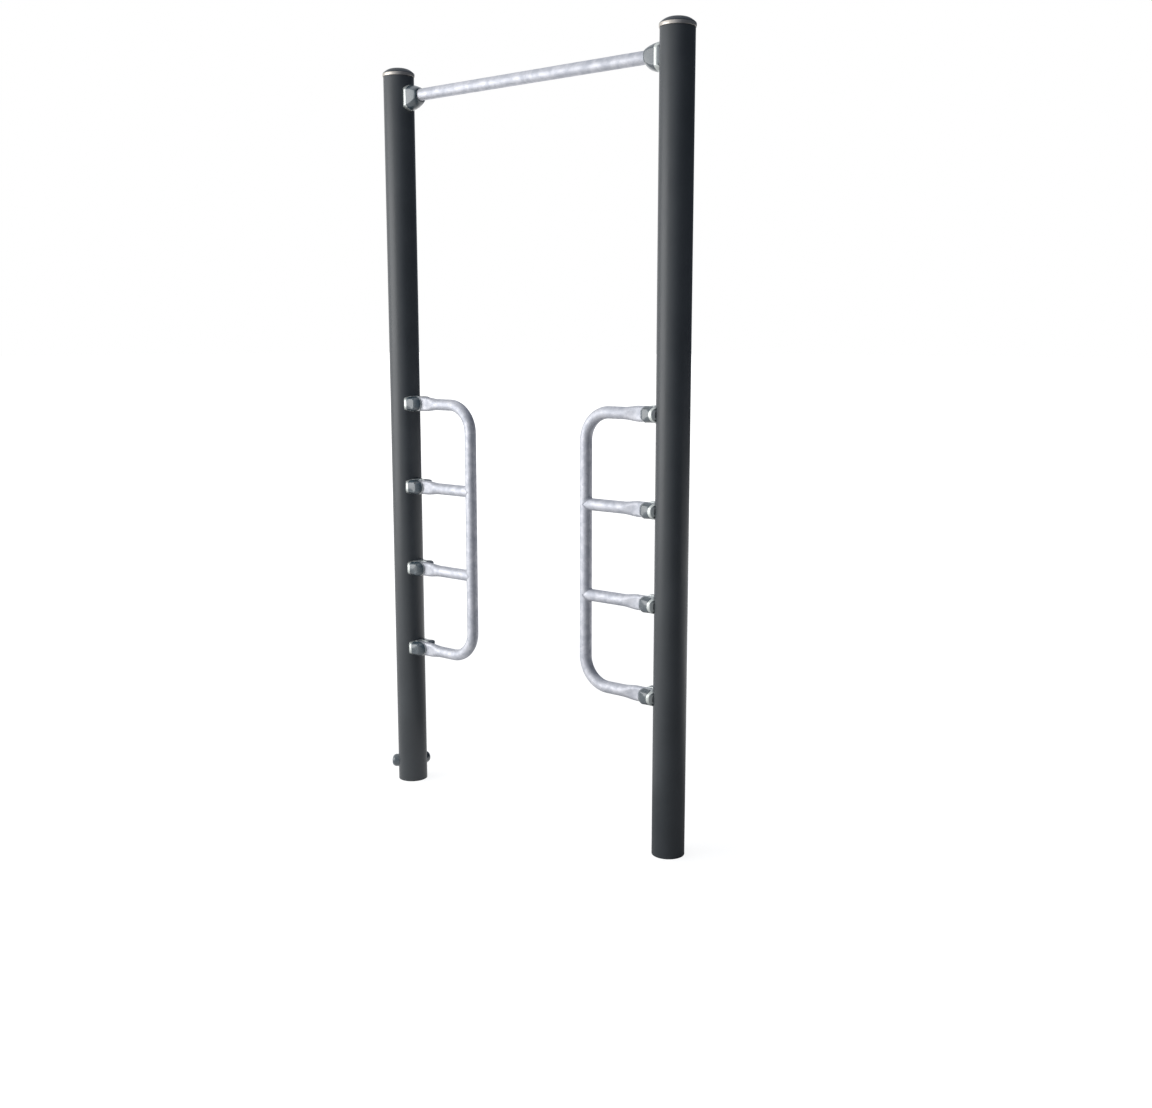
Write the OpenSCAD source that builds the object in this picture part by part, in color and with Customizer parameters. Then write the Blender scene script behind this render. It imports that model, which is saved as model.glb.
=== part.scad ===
// Outdoor pull-up station: two round posts, a high bar between them and a
// ladder of grips on the inner side of each post. Millimetres, Z up, X along
// the bar, -Y is the front. The origin lies on the ground, midway between the
// axes of the two posts.

/* [Posts] */
// Distance between the axes of the two posts
post_spacing = 1130; // [1000:5:1400]
// Outer diameter of a post tube
post_d = 101.6; // [95:0.1:114]
// Wall of a post tube
post_wall = 4; // [3:0.5:5]
// Height of a post tube, from the ground to its top end
post_h = 2430; // [2420:5:2700]

/* [Post caps] */
// How far the ring under a cap stands out from the post
ring_proud = 2.2; // [1.2:0.1:4]
// Height of the ring between post and cap
ring_h = 9.4; // [6:0.1:14]
// Rise of the domed cap above its ring
dome_rise = 17.5; // [12:0.5:24]
// Diameter of the flat disc in the middle of the dome
dome_flat_d = 41; // [30:1:50]
// Depth of the cap's plug inside the post
plug_depth = 28; // [20:1:30]
// Wall of the cap and of its plug
plug_wall = 3; // [2:0.5:5]
// Play round the plug and round the foot sleeve
tube_play = 0.2; // [0.1:0.05:0.5]

/* [Pull-up bar] */
// Outer diameter of the pull-up bar
bar_d = 38; // [34:0.5:42]
// Wall of the pull-up bar
bar_wall = 3; // [2:0.5:4]
// How far the bar's axis lies below the top end of the posts
bar_drop = 67; // [64:1:200]
// Play between the bar and the spigot inside it
bar_play = 0.2; // [0.1:0.05:0.4]

/* [Bar holders] */
// Height of the holder's base plate on the post
holder_h = 82; // [76:1:90]
// Width of the holder's base plate
holder_w = 58; // [52:1:64]
// How far the bar's axis sits above the middle of the base plate
holder_rise = 5; // [2:0.5:8]
// Half angle of the sector of post that the base plate hugs
holder_angle = 29; // [27:0.5:34]
// Thickness of the base plate in front of the post
holder_base = 11.2; // [9:0.1:14]
// Distance between the two screws of a base plate
holder_screw_gap = 58; // [54:1:62]
// Length of the moulded cover, from base plate to collar end
holder_cover_len = 42; // [38:1:50]
// Wall of the collar round the bar
collar_wall = 5.2; // [4:0.1:7]
// Length of the round collar
collar_len = 7; // [4:0.5:10]
// Length of the spigot that carries the bar
spigot_len = 60; // [50:1:90]
// Gap between the base plate and the end of the bar
bar_end_gap = 3; // [1:0.5:6]

/* [Grip ladders] */
// Outer diameter of the ladder tube
tube_d = 38; // [35:0.5:42]
// Wall of the ladder tube
tube_wall = 2.6; // [2:0.1:3.5]
// Distance from a post's axis to the axis of its upright grip
ladder_reach = 318.5; // [280:0.5:380]
// How far the ladders lie in front of the post axes
ladder_front = 10.7; // [8:0.1:14]
// Height of the lowest rung above the ground
rung_low = 493; // [400:1:600]
// Distance from rung to rung
rung_pitch = 286; // [250:1:320]
// Radius of the tube's bends, to its centre line
bend_r = 90; // [70:1:110]
// Thickness of the flattened tube ends
flat_t = 20; // [16:0.5:24]
// Distance from the post's surface to the end of the flattened stretch
flat_reach = 65; // [62:1:75]
// Length over which a flattened end grows round again
taper_len = 52; // [35:1:70]

/* [Rung brackets] */
// Height of a bracket's saddle
saddle_h = 52.6; // [52:0.1:60]
// How far the saddle's wings stay inside the post's width
saddle_inset = 2.3; // [0.5:0.1:4]
// Half angle of the sector of post that the saddle hugs
saddle_angle = 47.8; // [46:0.1:50]
// Thickness of the saddle in front of the post
saddle_base = 4.6; // [4:0.1:8]
// Play between saddle and post
saddle_play = 0.1; // [0:0.05:0.3]
// Thickness of the two cheeks that hold a tube's end
cheek_t = 4.6; // [3:0.1:6]
// Radius of the cheeks' round ends
cheek_r = 25.6; // [24.5:0.1:26]
// Play between a cheek and the flattened tube
cheek_play = 0.3; // [0.1:0.05:0.6]
// Distance from the saddle's front plane to the clamp bolt
bolt_reach = 20.5; // [19:0.5:28]
// Distance from the saddle's front plane to the tube's end
tube_end_gap = 5; // [2:0.5:8]
// How far the moulded covers stay inside the edges that they sit on
cover_inset = 0.8; // [0.5:0.1:2]
// How far a cover's flat face falls back towards its nose
cover_fall = 5.4; // [3:0.1:8]
// How far a cover's flat face reaches past the clamp bolt
face_past = 5.5; // [2:0.5:8]
// Height of a cover's flat face
face_h = 32; // [26:0.5:36]
// Wall of the moulded covers
cover_wall = 3; // [2:0.25:4]

/* [Fasteners] */
// Thread diameter of the clamp bolts
clamp_d = 10; // [8:0.5:12]
// Thread diameter of the screws into posts and bar
screw_d = 8; // [6:0.5:9]
// Play of a bolt in its hole
hole_play = 0.3; // [0.2:0.05:0.5]
// Play of a thread in its nut or tapped hole
thread_play = 0.1; // [0.05:0.05:0.2]
// Wall of the blind rivet nuts
nut_wall = 1.6; // [1.2:0.1:2.5]
// Length of the blind rivet nuts
nut_len = 14; // [10:1:18]
// Thickness of the washers
washer_t = 2; // [1:0.5:3]

/* [Post feet] */
// Wall of the sleeve that takes the ground anchor's tube
sleeve_wall = 1.9; // [1.5:0.1:3]
// Length of that sleeve
sleeve_h = 150; // [120:5:250]
// Height of the foot bolts above the ground
foot_bolt_z = 61; // [50:1:90]
// Thread diameter of the foot bolts
foot_bolt_d = 12; // [10:0.5:13]
// How far a foot bolt's end stays outside the sleeve's bore
foot_bolt_gap = 0.3; // [0.1:0.1:1]
// Diameter of the domed covers over the foot bolts
foot_cover_d = 45; // [42:0.5:50]
// How far a foot cover stands out from the post
foot_cover_h = 22; // [20:0.5:26]
// Height of the skirt of a foot cover
foot_skirt_h = 9; // [5:0.5:14]
// Direction of the outer foot bolt of the left post, counted from +X
outer_bolt_angle = 211; // [200:1:220]
// Direction of the foot bolt of the right post, counted from +X
right_bolt_angle = 125; // [105:1:145]

/* [Hidden] */
$fn = 64;

left = -1;
right = 1;
overlap = 1;
thin = 0.2;

// Colours as the photograph shows them
coat_colour = [0.22, 0.23, 0.24];
cap_colour = [0.10, 0.12, 0.15];
ring_colour = [0.60, 0.58, 0.54];
tube_colour = [0.80, 0.81, 0.84];
cast_colour = [0.74, 0.77, 0.75];
cover_colour = [0.24, 0.30, 0.34];
bolt_colour = [0.66, 0.67, 0.69];
sleeve_colour = [0.45, 0.46, 0.48];

// Posts and caps
post_r = post_d / 2;
post_bore_r = post_r - post_wall;
ring_r = post_r + ring_proud;
ring_edge = 0.6;
plug_r = post_bore_r - tube_play;
cap_r = ring_r - 1;
cap_edge_h = 1.5;
disc_step = 0.7;
dome_steps = 10;

// Bar and holders, measured from the post's axis
bar_z = post_h - bar_drop;
bar_r = bar_d / 2;
holder_front = post_r + holder_base;
collar_end_x = holder_front + holder_cover_len;
collar_r = bar_r + collar_wall;
bar_start_x = holder_front + bar_end_gap;
bar_half_len = post_spacing / 2 - bar_start_x;
spigot_r = bar_r - bar_wall - bar_play;
lock_x = (bar_start_x + collar_end_x) / 2;
lock_depth = 12;
holder_round_w = 72;
outline_steps = 48;

// Rungs, from the top one down, and the plan of a bracket from the post's axis
rung_z = [for (step = [3:-1:0]) rung_low + step * rung_pitch];
tube_r = tube_d / 2;
flat_h = flat_t + PI * (tube_d - flat_t) / 2;
flat_end_x = post_r + flat_reach;
taper_end_x = flat_end_x + taper_len;
saddle_front = post_r + saddle_base;
saddle_half_w = post_r - saddle_inset;
saddle_power = 2.95;
bolt_x = saddle_front + bolt_reach;
tube_end_x = saddle_front + tube_end_gap;
cheek_root = 3;
cheek_gap = flat_t / 2 + cheek_play;
front_seat = ladder_front + cheek_gap + cheek_t;
rear_seat = cheek_gap + cheek_t - ladder_front;
cope_gap = 0.1;

// Covers: the face ends just before the bolt, and a middle ring rounds the nose
cover_r = cheek_r - cover_inset;
face_y = saddle_half_w - cover_inset - cover_fall;
face_end_x = bolt_x + face_past;
face_corner_r = 4;
nose_y = face_y - 8;
nose_r = cover_r - 4;

// Fasteners
clamp_head_af = 1.7 * clamp_d;
clamp_head_h = 0.64 * clamp_d;
clamp_nut_h = 0.8 * clamp_d;
clamp_end = 2;
washer_r = clamp_d;
screw_angle = 36;
screw_head_r = 0.8 * screw_d;
screw_head_h = 0.7 * screw_d;
screw_seat_r = post_r + 4;
screw_len = nut_len + 4;
holder_seat_x = holder_front - screw_head_h;
holder_screw_len = holder_seat_x - post_r + nut_len;
nut_bore_r = screw_d / 2 + thread_play;
nut_r = nut_bore_r + nut_wall;
nut_hole_r = nut_r + thread_play;
nut_collar = 1.2;
nut_collar_gap = 0.6;

// Feet: the left post has two bolts, the right post has one
foot_angles_left = [outer_bolt_angle, 90];
foot_angles_right = [right_bolt_angle];
socket_r = plug_r - sleeve_wall;
foot_bolt_start = socket_r + foot_bolt_gap;
foot_head_af = 1.6 * foot_bolt_d;
foot_head_h = 0.6 * foot_bolt_d;
foot_flat_r = 12;

function foot_angles(side) = side < 0 ? foot_angles_left : foot_angles_right;
function holder_screw_z(side) = bar_z - holder_rise + side * holder_screw_gap / 2;

// Puts a shape drawn round a post's axis, with +X towards the other post, on
// the left or the right post
module on_side(side) {
    if (side < 0)
        translate([-post_spacing / 2, 0, 0]) children();
    else
        translate([post_spacing / 2, 0, 0]) mirror([1, 0, 0]) children();
}

// The foot bolts' directions are true ones, so they aren't mirrored
module on_post(side) {
    translate([side * post_spacing / 2, 0, 0]) children();
}

// A cylinder along +X
module rod_x(r, length) {
    rotate([0, 90, 0]) cylinder(r = r, h = length);
}

// A cylinder along +Y
module rod_y(r, length) {
    rotate([-90, 0, 0]) cylinder(r = r, h = length);
}

// An outline drawn across the bar, drawn out along +X
module across(length) {
    rotate([90, 0, 90]) linear_extrude(length) children();
}

// A hexagon prism along +X, given across its flats
module hex_x(flats, length) {
    rotate([0, 90, 0]) cylinder(r = flats / (2 * cos(30)), h = length, $fn = 6);
}

// A socket-head screw along X: the head's underside is at x = 0
module cap_screw(length) {
    difference() {
        union() {
            translate([-length, 0, 0]) rod_x(screw_d / 2, length);
            rod_x(screw_head_r, screw_head_h);
        }
        translate([screw_head_h / 2, 0, 0])
            hex_x(0.75 * screw_d, screw_head_h);
    }
}

module post(side) {
    color(coat_colour) difference() {
        on_side(side) difference() {
            cylinder(r = post_r, h = post_h);
            translate([0, 0, -overlap])
                cylinder(r = post_bore_r, h = post_h + 2 * overlap);
            for (z = rung_z, a = [-screw_angle, screw_angle])
                translate([0, 0, z]) rotate([0, 0, a])
                    rod_x(nut_hole_r, post_d);
            for (row = [-1, 1])
                translate([0, 0, holder_screw_z(row)])
                    rod_x(nut_hole_r, post_d);
        }
        on_post(side) for (a = foot_angles(side))
            translate([0, 0, foot_bolt_z]) rotate([0, 0, a])
                rod_x(foot_bolt_d / 2 + hole_play, post_d);
    }
}

module cap_ring(side) {
    color(ring_colour) on_side(side) translate([0, 0, post_h])
        rotate_extrude() polygon([
            [post_bore_r, 0], [ring_r - ring_edge, 0],
            [ring_r, ring_edge], [ring_r, ring_h - ring_edge],
            [ring_r - ring_edge, ring_h], [post_bore_r, ring_h]]);
}

module post_cap(side) {
    flat_r = dome_flat_d / 2;
    arc_rise = dome_rise - cap_edge_h - disc_step;
    dome_arc = [for (i = [0:dome_steps])
        let (t = i / dome_steps)
        [flat_r + (cap_r - flat_r) * t, cap_edge_h + arc_rise * (1 - t * t)]];
    color(cap_colour) on_side(side) translate([0, 0, post_h + ring_h])
        rotate_extrude() polygon(concat(
            [[0, -plug_wall], [0, dome_rise], [flat_r - disc_step, dome_rise]],
            dome_arc,
            [[cap_r, 0], [plug_r, 0], [plug_r, -ring_h - plug_depth],
             [plug_r - plug_wall, -ring_h - plug_depth],
             [plug_r - plug_wall, -plug_wall]]));
}

// The sleeve inside the post's foot
module foot_sleeve(side) {
    color(sleeve_colour) on_post(side) difference() {
        cylinder(r = plug_r, h = sleeve_h);
        translate([0, 0, -overlap])
            cylinder(r = socket_r, h = sleeve_h + 2 * overlap);
        for (a = foot_angles(side))
            translate([0, 0, foot_bolt_z]) rotate([0, 0, a])
                rod_x(foot_bolt_d / 2 + thread_play, post_d);
    }
}

module foot_bolts(side) {
    seat_x = post_r + washer_t;
    color(bolt_colour) on_post(side) for (a = foot_angles(side))
        translate([0, 0, foot_bolt_z]) rotate([0, 0, a]) {
            translate([foot_bolt_start, 0, 0])
                rod_x(foot_bolt_d / 2, seat_x - foot_bolt_start);
            difference() {
                translate([post_bore_r, 0, 0])
                    rod_x(foot_bolt_d, post_wall + washer_t);
                translate([0, 0, -2 * foot_bolt_d])
                    cylinder(r = post_r, h = 4 * foot_bolt_d);
            }
            translate([seat_x, 0, 0]) hex_x(foot_head_af, foot_head_h);
        }
}

// A domed cover: a low skirt on the post, then a rounded front
module foot_covers(side) {
    cover_edge_r = foot_cover_d / 2;
    front_x = post_r + foot_cover_h;
    skirt_x = post_r + foot_skirt_h;
    inner_r = foot_bolt_d + cover_wall;
    arc = [for (i = [0:dome_steps])
        let (a = 90 * i / dome_steps)
        [foot_flat_r + (cover_edge_r - foot_flat_r) * cos(a),
         skirt_x + (front_x - skirt_x) * sin(a)]];
    color(cover_colour) on_post(side) for (a = foot_angles(side))
        translate([0, 0, foot_bolt_z]) rotate([0, 0, a]) difference() {
            rotate([0, 90, 0]) rotate_extrude() polygon(concat(
                [[cover_edge_r, post_r / 2]], arc,
                [[0, front_x], [0, front_x - cover_wall],
                 [inner_r, front_x - cover_wall], [inner_r, post_r / 2]]));
            translate([0, 0, -foot_cover_d])
                cylinder(r = post_r, h = 2 * foot_cover_d);
        }
}

module pull_up_bar() {
    lock_from_end = lock_x - bar_start_x;
    color(tube_colour) translate([-bar_half_len, 0, bar_z]) difference() {
        rod_x(bar_r, 2 * bar_half_len);
        translate([-overlap, 0, 0])
            rod_x(bar_r - bar_wall, 2 * (bar_half_len + overlap));
        for (x = [lock_from_end, 2 * bar_half_len - lock_from_end])
            translate([x, 0, -bar_d])
                cylinder(r = screw_d / 2 + hole_play, h = bar_d);
    }
}

// Outline of a bar holder: an oval with straight sides
module holder_outline(inset) {
    half_w = holder_round_w / 2 - inset;
    half_h = holder_h / 2 - inset;
    intersection() {
        polygon([for (i = [0:outline_steps - 1])
            let (a = 360 * i / outline_steps)
            [half_w * cos(a), half_h * sin(a)]]);
        square([holder_w - 2 * inset, holder_h], center = true);
    }
}

// A wedge of plan that opens along +X from the post's axis
module sector(angle, height) {
    side = 2 * post_d;
    translate([0, 0, -height / 2]) linear_extrude(height) polygon([
        [0, 0], [side * cos(angle), -side * sin(angle)],
        [side * cos(angle), side * sin(angle)]]);
}

// Base plate with the spigot that carries the bar
module bar_flange(side) {
    color(cast_colour) on_side(side) difference() {
        union() {
            translate([0, 0, bar_z - holder_rise]) intersection() {
                across(holder_front) holder_outline(0);
                sector(holder_angle, 2 * holder_h);
            }
            translate([holder_front - overlap, 0, bar_z])
                rod_x(spigot_r, spigot_len + overlap);
        }
        translate([0, 0, bar_z - holder_h])
            cylinder(r = post_r + saddle_play, h = 2 * holder_h);
        for (row = [-1, 1]) translate([0, 0, holder_screw_z(row)]) {
            rod_x(screw_d / 2 + hole_play, holder_front + overlap);
            translate([holder_seat_x, 0, 0])
                rod_x(screw_head_r + hole_play, screw_head_h + overlap);
        }
        translate([lock_x, 0, bar_z - bar_r])
            cylinder(r = screw_d / 2 + thread_play, h = lock_depth);
    }
}

// Outer or inner form of the moulded cover over a base plate
module holder_form(inset) {
    hull() {
        translate([holder_front - (inset > 0 ? overlap : 0), 0,
            bar_z - holder_rise])
            across(thin) holder_outline(cover_inset + inset);
        translate([collar_end_x - collar_len - inset, 0, bar_z])
            rod_x(collar_r - inset, inset > 0 ? thin : collar_len, $fn = 48);
    }
}

module bar_cover(side) {
    color(cover_colour) on_side(side) difference() {
        holder_form(0);
        holder_form(cover_wall);
        translate([holder_front, 0, bar_z])
            rod_x(bar_r + hole_play, holder_cover_len + overlap);
    }
}

module bar_screws(side) {
    color(bolt_colour) on_side(side) for (row = [-1, 1])
        translate([holder_seat_x, 0, holder_screw_z(row)])
            cap_screw(holder_screw_len);
}

// The screw that holds the bar on its spigot, from below
module bar_lock(side) {
    color(bolt_colour) on_side(side) translate([lock_x, 0, bar_z - bar_r])
        rotate([0, 90, 0]) cap_screw(lock_depth - overlap);
}

// A flattened tube's section: straight sides with round ends
module flat_section(inset) {
    r = flat_t / 2 - inset;
    centre = flat_h / 2 - flat_t / 2;
    square([2 * r, 2 * centre], center = true);
    for (z = [-centre, centre]) translate([0, z]) circle(r = r);
}

// A rung from its flattened end to the point where it is round
module flat_end(inset) {
    extra = inset > 0 ? overlap : 0;
    translate([tube_end_x - extra, 0, 0])
        across(flat_end_x - tube_end_x + extra) flat_section(inset);
    hull() {
        translate([flat_end_x - thin, 0, 0]) across(thin)
            flat_section(inset, $fn = 48);
        translate([taper_end_x, 0, 0])
            rod_x(tube_r - inset, thin, $fn = 48);
    }
}

module grip_form(inset) {
    r = tube_r - inset;
    straight = ladder_reach - bend_r - taper_end_x;
    for (z = [rung_z[0], rung_z[3]]) translate([0, 0, z]) {
        flat_end(inset);
        translate([taper_end_x, 0, 0]) rod_x(r, straight);
    }
    translate([ladder_reach, 0, rung_z[3] + bend_r])
        cylinder(r = r, h = rung_z[0] - rung_z[3] - 2 * bend_r);
    translate([ladder_reach - bend_r, 0, rung_z[0] - bend_r])
        rotate([90, 0, 0]) rotate_extrude(angle = 90)
            translate([bend_r, 0]) circle(r = r);
    translate([ladder_reach - bend_r, 0, rung_z[3] + bend_r])
        rotate([90, 0, 0]) rotate([0, 0, -90]) rotate_extrude(angle = 90)
            translate([bend_r, 0]) circle(r = r);
}

// Hole for the clamp bolt through a flattened end or a pair of cheeks
module clamp_hole(z) {
    translate([bolt_x, -post_r, z])
        rod_y(clamp_d / 2 + hole_play, post_d);
}

module grip_tube(side) {
    color(tube_colour) on_side(side) translate([0, -ladder_front, 0])
        difference() {
            grip_form(0);
            grip_form(tube_wall);
            clamp_hole(rung_z[0]);
            clamp_hole(rung_z[3]);
        }
}

// A rung between the corners: it ends in a cope against the upright grip
module rung(side, z) {
    color(tube_colour) on_side(side) translate([0, -ladder_front, 0])
        difference() {
            translate([0, 0, z]) {
                flat_end(0);
                translate([taper_end_x, 0, 0])
                    rod_x(tube_r, ladder_reach - taper_end_x);
            }
            translate([0, 0, z]) {
                flat_end(tube_wall);
                translate([taper_end_x, 0, 0])
                    rod_x(tube_r - tube_wall, ladder_reach - taper_end_x);
            }
            translate([ladder_reach, 0, z - tube_d])
                cylinder(r = tube_r + cope_gap, h = 2 * tube_d);
            clamp_hole(z);
        }
}

// Outline of a saddle across the bar: a rectangle with softly rounded corners
module saddle_outline(inset) {
    half_w = saddle_half_w - inset;
    half_h = saddle_h / 2 - inset;
    polygon([for (i = [0:outline_steps - 1])
        let (a = 360 * i / outline_steps, c = cos(a), s = sin(a))
        [half_w * sign(c) * pow(abs(c), 2 / saddle_power),
         half_h * sign(s) * pow(abs(s), 2 / saddle_power)]]);
}

// Saddle on the post with the two cheeks that hold the tube's end
module saddle(side, z) {
    color(cast_colour) on_side(side) translate([0, 0, z]) difference() {
        union() {
            intersection() {
                across(saddle_front) saddle_outline(0);
                sector(saddle_angle, 2 * saddle_h);
            }
            for (y = [-front_seat, rear_seat - cheek_t]) {
                translate([bolt_x, y, 0]) rod_y(cheek_r, cheek_t);
                translate([saddle_front - cheek_root, y, -cheek_r])
                    cube([bolt_reach + cheek_root, cheek_t, 2 * cheek_r]);
            }
        }
        translate([0, 0, -saddle_h])
            cylinder(r = post_r + saddle_play, h = 2 * saddle_h);
        for (a = [-screw_angle, screw_angle]) rotate([0, 0, a]) {
            rod_x(screw_d / 2 + hole_play, screw_seat_r + overlap);
            translate([screw_seat_r, 0, 0])
                rod_x(screw_head_r + hole_play, post_r);
        }
        clamp_hole(0);
    }
}

// Outer or inner form of a moulded cover, over the cheek at y = -seat.
// Nothing of it reaches behind the saddle's front plane.
module cover_form(seat, inset) {
    open = inset > 0 ? overlap : 0;
    intersection() {
        hull() {
            translate([saddle_front - open, 0, 0]) across(thin) intersection() {
                saddle_outline(cover_inset + inset);
                translate([-saddle_half_w, -saddle_h])
                    square([saddle_half_w - seat + open, 2 * saddle_h]);
            }
            translate([bolt_x, -seat - thin + open, 0])
                rod_y(cover_r - inset, thin, $fn = 48);
            translate([bolt_x, -nose_y, 0])
                rod_y(nose_r - inset, thin, $fn = 48);
            for (z = [-1, 1])
                translate([face_end_x - face_corner_r, inset - face_y,
                    z * (face_h / 2 - face_corner_r)])
                    rod_y(max(face_corner_r - inset, thin), thin, $fn = 32);
        }
        translate([saddle_front - open, -2 * post_r, -saddle_h])
            cube([bolt_reach + 2 * cheek_r, 2 * post_r, 2 * saddle_h]);
    }
}

module cover_shell(seat) {
    difference() {
        cover_form(seat, 0);
        cover_form(seat, cover_wall);
    }
}

module front_cover(side, z) {
    color(cover_colour) on_side(side) translate([0, 0, z])
        cover_shell(front_seat);
}

module rear_cover(side, z) {
    color(cover_colour) on_side(side) translate([0, 0, z])
        mirror([0, 1, 0]) cover_shell(rear_seat);
}

// The bolts with their washers, one through each bracket
module clamp_bolts(side) {
    head_y = -front_seat - washer_t;
    end_y = rear_seat + washer_t + clamp_nut_h + clamp_end;
    color(bolt_colour) on_side(side) for (z = rung_z)
        translate([bolt_x, head_y, z]) {
            rod_y(clamp_d / 2, end_y - head_y);
            rod_y(washer_r, washer_t);
            rotate([0, 0, -90]) hex_x(clamp_head_af, clamp_head_h);
        }
}

module clamp_nuts(side) {
    color(bolt_colour) on_side(side) for (z = rung_z)
        translate([bolt_x, rear_seat, z]) difference() {
            union() {
                rod_y(washer_r, washer_t);
                translate([0, washer_t, 0])
                    rotate([0, 0, 90]) hex_x(clamp_head_af, clamp_nut_h);
            }
            translate([0, -overlap, 0])
                rod_y(clamp_d / 2 + thread_play,
                    washer_t + clamp_nut_h + 2 * overlap);
        }
}

module saddle_screws(side) {
    color(bolt_colour) on_side(side)
        for (z = rung_z, a = [-screw_angle, screw_angle])
            translate([0, 0, z]) rotate([0, 0, a])
                translate([screw_seat_r, 0, 0]) cap_screw(screw_len);
}

// A blind rivet nut in the post's wall, its mouth at the post's surface
module rivet_nut() {
    translate([post_r - nut_len, 0, 0]) difference() {
        union() {
            rod_x(nut_r, nut_len);
            translate([nut_len - post_wall - nut_wall - nut_collar_gap, 0, 0])
                rod_x(nut_r + nut_collar, nut_wall);
        }
        translate([-overlap, 0, 0]) rod_x(nut_bore_r, nut_len + 2 * overlap);
    }
}

module rivet_nuts(side) {
    color(bolt_colour) on_side(side) {
        for (z = rung_z, a = [-screw_angle, screw_angle])
            translate([0, 0, z]) rotate([0, 0, a])
                intersection() {
                    rivet_nut();
                    translate([0, 0, -post_r])
                        cylinder(r = post_r, h = post_d);
                }
        for (row = [-1, 1]) translate([0, 0, holder_screw_z(row)])
            intersection() {
                rivet_nut();
                translate([0, 0, -post_r]) cylinder(r = post_r, h = post_d);
            }
    }
}

pull_up_bar();
post(left);  // left_post
cap_ring(left);  // left_cap_ring
post_cap(left);  // left_post_cap
foot_sleeve(left);  // left_foot_sleeve
foot_bolts(left);  // left_foot_bolts
foot_covers(left);  // left_foot_covers
bar_flange(left);  // left_bar_flange
bar_cover(left);  // left_bar_cover
bar_screws(left);  // left_bar_screws
bar_lock(left);  // left_bar_lock
grip_tube(left);  // left_grip_tube
rung(left, rung_z[1]);  // left_upper_rung
rung(left, rung_z[2]);  // left_lower_rung
saddle(left, rung_z[0]);  // left_saddle_1
saddle(left, rung_z[1]);  // left_saddle_2
saddle(left, rung_z[2]);  // left_saddle_3
saddle(left, rung_z[3]);  // left_saddle_4
front_cover(left, rung_z[0]);  // left_front_cover_1
front_cover(left, rung_z[1]);  // left_front_cover_2
front_cover(left, rung_z[2]);  // left_front_cover_3
front_cover(left, rung_z[3]);  // left_front_cover_4
rear_cover(left, rung_z[0]);  // left_rear_cover_1
rear_cover(left, rung_z[1]);  // left_rear_cover_2
rear_cover(left, rung_z[2]);  // left_rear_cover_3
rear_cover(left, rung_z[3]);  // left_rear_cover_4
clamp_bolts(left);  // left_clamp_bolts
clamp_nuts(left);  // left_clamp_nuts
saddle_screws(left);  // left_saddle_screws
rivet_nuts(left);  // left_rivet_nuts
post(right);  // right_post
cap_ring(right);  // right_cap_ring
post_cap(right);  // right_post_cap
foot_sleeve(right);  // right_foot_sleeve
foot_bolts(right);  // right_foot_bolts
foot_covers(right);  // right_foot_covers
bar_flange(right);  // right_bar_flange
bar_cover(right);  // right_bar_cover
bar_screws(right);  // right_bar_screws
bar_lock(right);  // right_bar_lock
grip_tube(right);  // right_grip_tube
rung(right, rung_z[1]);  // right_upper_rung
rung(right, rung_z[2]);  // right_lower_rung
saddle(right, rung_z[0]);  // right_saddle_1
saddle(right, rung_z[1]);  // right_saddle_2
saddle(right, rung_z[2]);  // right_saddle_3
saddle(right, rung_z[3]);  // right_saddle_4
front_cover(right, rung_z[0]);  // right_front_cover_1
front_cover(right, rung_z[1]);  // right_front_cover_2
front_cover(right, rung_z[2]);  // right_front_cover_3
front_cover(right, rung_z[3]);  // right_front_cover_4
rear_cover(right, rung_z[0]);  // right_rear_cover_1
rear_cover(right, rung_z[1]);  // right_rear_cover_2
rear_cover(right, rung_z[2]);  // right_rear_cover_3
rear_cover(right, rung_z[3]);  // right_rear_cover_4
clamp_bolts(right);  // right_clamp_bolts
clamp_nuts(right);  // right_clamp_nuts
saddle_screws(right);  // right_saddle_screws
rivet_nuts(right);  // right_rivet_nuts
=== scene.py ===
# %% [markdown]
# An outdoor pull-up station: two powder-coated steel posts, a galvanised bar
# between them, and a ladder of galvanised grips on the inner side of each post.
# The engineering model is loaded first, as a fixed frame. The dressed model may
# not grow past it.

# %% Load the frame
import math

import bmesh
import bpy
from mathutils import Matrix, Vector


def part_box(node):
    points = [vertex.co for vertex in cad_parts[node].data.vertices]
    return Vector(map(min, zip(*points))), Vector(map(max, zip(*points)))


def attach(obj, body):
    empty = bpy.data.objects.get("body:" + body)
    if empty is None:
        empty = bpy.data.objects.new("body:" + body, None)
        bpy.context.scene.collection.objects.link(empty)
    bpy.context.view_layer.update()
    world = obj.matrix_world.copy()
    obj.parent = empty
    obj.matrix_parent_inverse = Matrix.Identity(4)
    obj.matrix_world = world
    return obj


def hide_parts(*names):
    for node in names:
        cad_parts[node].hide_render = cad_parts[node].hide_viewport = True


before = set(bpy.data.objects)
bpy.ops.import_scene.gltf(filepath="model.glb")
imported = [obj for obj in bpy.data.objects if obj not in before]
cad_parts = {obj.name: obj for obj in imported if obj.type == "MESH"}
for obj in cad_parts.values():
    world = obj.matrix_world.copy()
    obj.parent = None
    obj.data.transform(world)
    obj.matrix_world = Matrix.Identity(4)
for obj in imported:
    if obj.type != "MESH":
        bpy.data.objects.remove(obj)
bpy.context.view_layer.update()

# %% [markdown]
# The camera stands to the right of the station, at eye height, and looks a
# little down. Its place came from fitting the station's own edges, so the frame
# and the picture agree.

# %% Camera
CAMERA_PLACE = (2.7794, -3.1631, 1.5753)
CAMERA_TURN = 0.6845
CAMERA_TILT = -0.1639
FOCAL_PIXELS = 1310.1
IMAGE_WIDTH = 1152
SENSOR_MM = 36.0
CLIP_END = 300.0


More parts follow.
